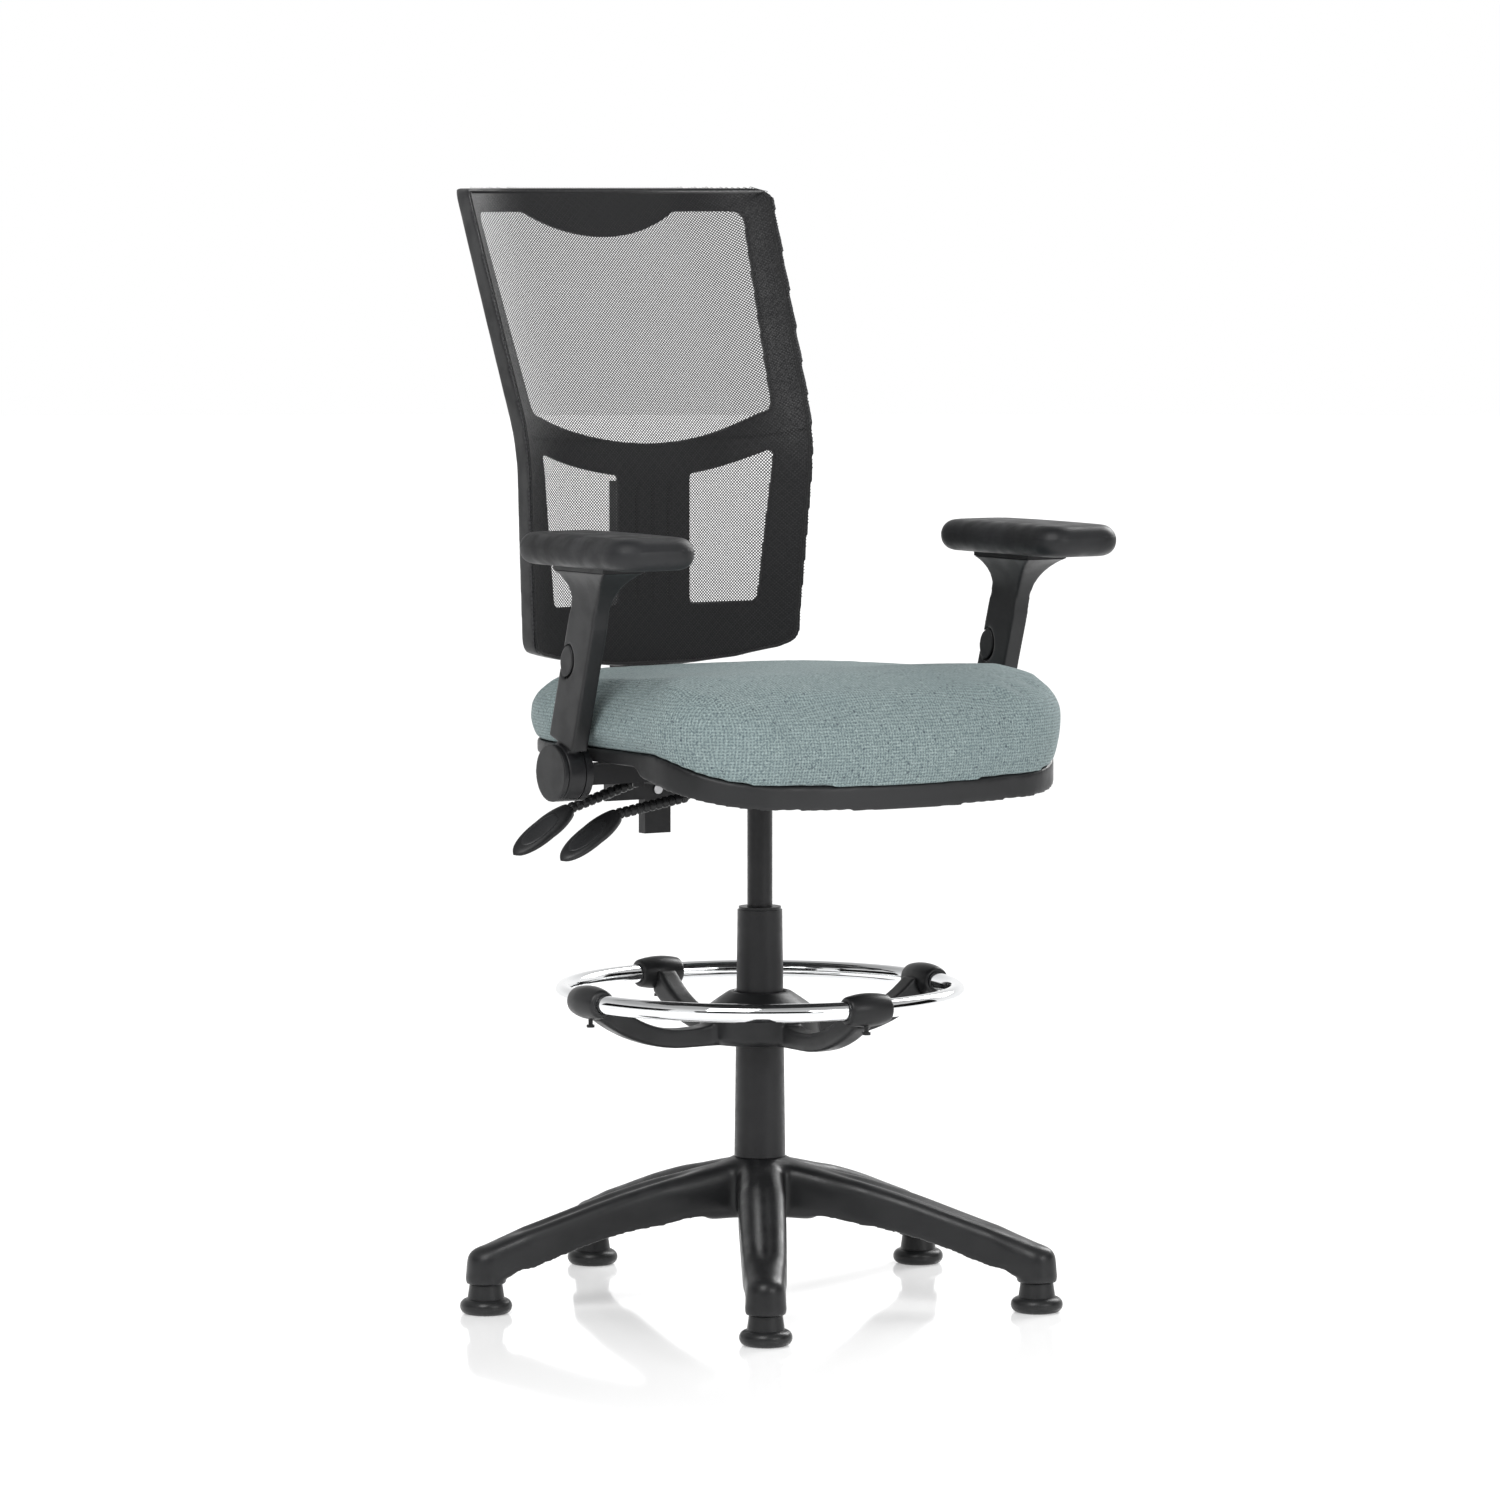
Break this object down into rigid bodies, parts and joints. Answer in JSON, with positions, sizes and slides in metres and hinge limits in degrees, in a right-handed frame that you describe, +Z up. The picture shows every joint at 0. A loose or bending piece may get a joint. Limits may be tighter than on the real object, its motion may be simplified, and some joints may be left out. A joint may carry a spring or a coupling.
{
  "type": "drafting chair",
  "caption": "Tall drafting chair with a mesh back, padded fabric seat, padded height-adjustable arms, gas lift, chrome foot ring and a five-leg base on glides.",
  "frame": {"origin": "centre of the whole chair's footprint on the floor; the column's axis is 40.3 mm in front of it", "axes": "+Z up, the chair faces -Y, the sitter's right is -X"},
  "size_m": [0.6657, 0.6966, 1.236],
  "materials": {
    "black_plastic": "satin",
    "painted_steel": "satin",
    "chrome": "polished",
    "pale_nylon": "matte",
    "steel": "satin",
    "glide_plastic": "satin",
    "seat_fabric": "woven",
    "mesh_fabric": "open knit",
    "plywood": "plain",
    "soft_pad": "soft matte"
  },
  "bodies": {
    "base": {"star_base": "black_plastic", "glide_1": "glide_plastic", "glide_2": "glide_plastic", "glide_3": "glide_plastic", "glide_4": "glide_plastic", "glide_5": "glide_plastic", "glide_stems": "steel", "outer_column": "painted_steel", "guide_bush": "black_plastic", "thrust_bearing": "steel"},
    "piston": {"piston_rod": "steel", "piston_head": "pale_nylon", "rod_clip": "steel"},
    "seat": {"gas_tube": "painted_steel", "taper_socket": "black_plastic", "mechanism_housing": "painted_steel", "mechanism_plate": "painted_steel", "seat_bolts": "steel", "tilt_pin": "steel", "back_spring": "steel", "seat_pan": "black_plastic", "seat_board": "plywood", "tee_nuts": "steel", "seat_cushion": "seat_fabric", "right_arm_bracket": "painted_steel", "right_arm_hub_cap": "black_plastic", "left_arm_bracket": "painted_steel", "left_arm_hub_cap": "black_plastic", "arm_bolts": "steel"},
    "release_pin": {"release_pin": "steel"},
    "foot_ring": {"footring_tube": "chrome", "footring_spider": "black_plastic", "ring_clamp_1": "black_plastic", "ring_clamp_2": "black_plastic", "ring_clamp_3": "black_plastic", "ring_clamp_4": "black_plastic", "ring_clamp_screws": "steel", "footring_collet": "black_plastic"},
    "height_lever": {"height_lever_rod": "steel", "height_lever_sleeve": "black_plastic", "height_lever_paddle": "black_plastic"},
    "back_lever": {"back_lever_rod": "steel", "back_lever_sleeve": "black_plastic", "back_lever_paddle": "black_plastic"},
    "back_carrier": {"back_bracket": "painted_steel", "back_post": "painted_steel", "back_rivets": "steel"},
    "back": {"back_frame": "black_plastic", "back_mesh": "mesh_fabric", "back_spine": "black_plastic"},
    "right_arm_fold": {"right_arm_neck": "painted_steel"},
    "right_arm_top": {"right_arm_upright": "black_plastic", "right_arm_pad_plate": "black_plastic", "right_arm_pad": "soft_pad"},
    "right_button": {"right_arm_button": "black_plastic"},
    "left_arm_fold": {"left_arm_neck": "painted_steel"},
    "left_arm_top": {"left_arm_upright": "black_plastic", "left_arm_pad_plate": "black_plastic", "left_arm_pad": "soft_pad"},
    "left_button": {"left_arm_button": "black_plastic"}
  },
  "joints": [
    {"name": "swivel", "type": "hinge", "parent": "base", "child": "piston", "pos_m": [0, -0.0403, 0.105], "axis": [0, 0, 1], "continuous": true},
    {"name": "seat_height", "type": "slide", "parent": "piston", "child": "seat", "axis": [0, 0, 1], "range_m": [-0.07, 0.12]},
    {"name": "foot_ring_height", "type": "slide", "parent": "base", "child": "foot_ring", "axis": [0, 0, 1], "range_m": [-0.09, 0.02]},
    {"name": "height_lever_pull", "type": "hinge", "parent": "seat", "child": "height_lever", "pos_m": [-0.075, -0.0453, 0.58], "axis": [0, 1, 0], "range_deg": [0, 3.8], "stiffness_Nm_per_rad": 5},
    {"name": "release_pin_press", "type": "slide", "parent": "seat", "child": "release_pin", "axis": [0, 0, -1], "range_m": [0, 0.0051]},
    {"name": "back_lever_pull", "type": "hinge", "parent": "seat", "child": "back_lever", "pos_m": [-0.075, 0.0577, 0.584], "axis": [0, 1, 0], "range_deg": [0, 8]},
    {"name": "back_tilt", "type": "hinge", "parent": "seat", "child": "back_carrier", "pos_m": [0, 0.0787, 0.594], "axis": [-1, 0, 0], "range_deg": [0, 16]},
    {"name": "back_height", "type": "slide", "parent": "back_carrier", "child": "back", "axis": [0, 0, 1], "range_m": [0, 0.06]},
    {"name": "right_arm_fold_back", "type": "hinge", "parent": "seat", "child": "right_arm_fold", "pos_m": [-0.273, -0.0743, 0.604], "axis": [-1, 0, 0], "range_deg": [0, 90]},
    {"name": "right_arm_height", "type": "slide", "parent": "right_arm_fold", "child": "right_arm_top", "axis": [0, -0.3074, 0.9516], "range_m": [0, 0.07]},
    {"name": "right_button_press", "type": "slide", "parent": "right_arm_top", "child": "right_button", "axis": [0, -0.9516, -0.3074], "range_m": [0, 0.002], "stiffness_N_per_m": 1500},
    {"name": "left_arm_fold_back", "type": "hinge", "parent": "seat", "child": "left_arm_fold", "pos_m": [0.273, -0.0743, 0.604], "axis": [-1, 0, 0], "range_deg": [0, 90]},
    {"name": "left_arm_height", "type": "slide", "parent": "left_arm_fold", "child": "left_arm_top", "axis": [0, -0.3074, 0.9516], "range_m": [0, 0.07]},
    {"name": "left_button_press", "type": "slide", "parent": "left_arm_top", "child": "left_button", "axis": [0, -0.9516, -0.3074], "range_m": [0, 0.002], "stiffness_N_per_m": 1500}
  ],
  "couplings": [
    {"joint": "release_pin_press", "follows": "height_lever_pull", "m_per_rad": 0.075}
  ]
}
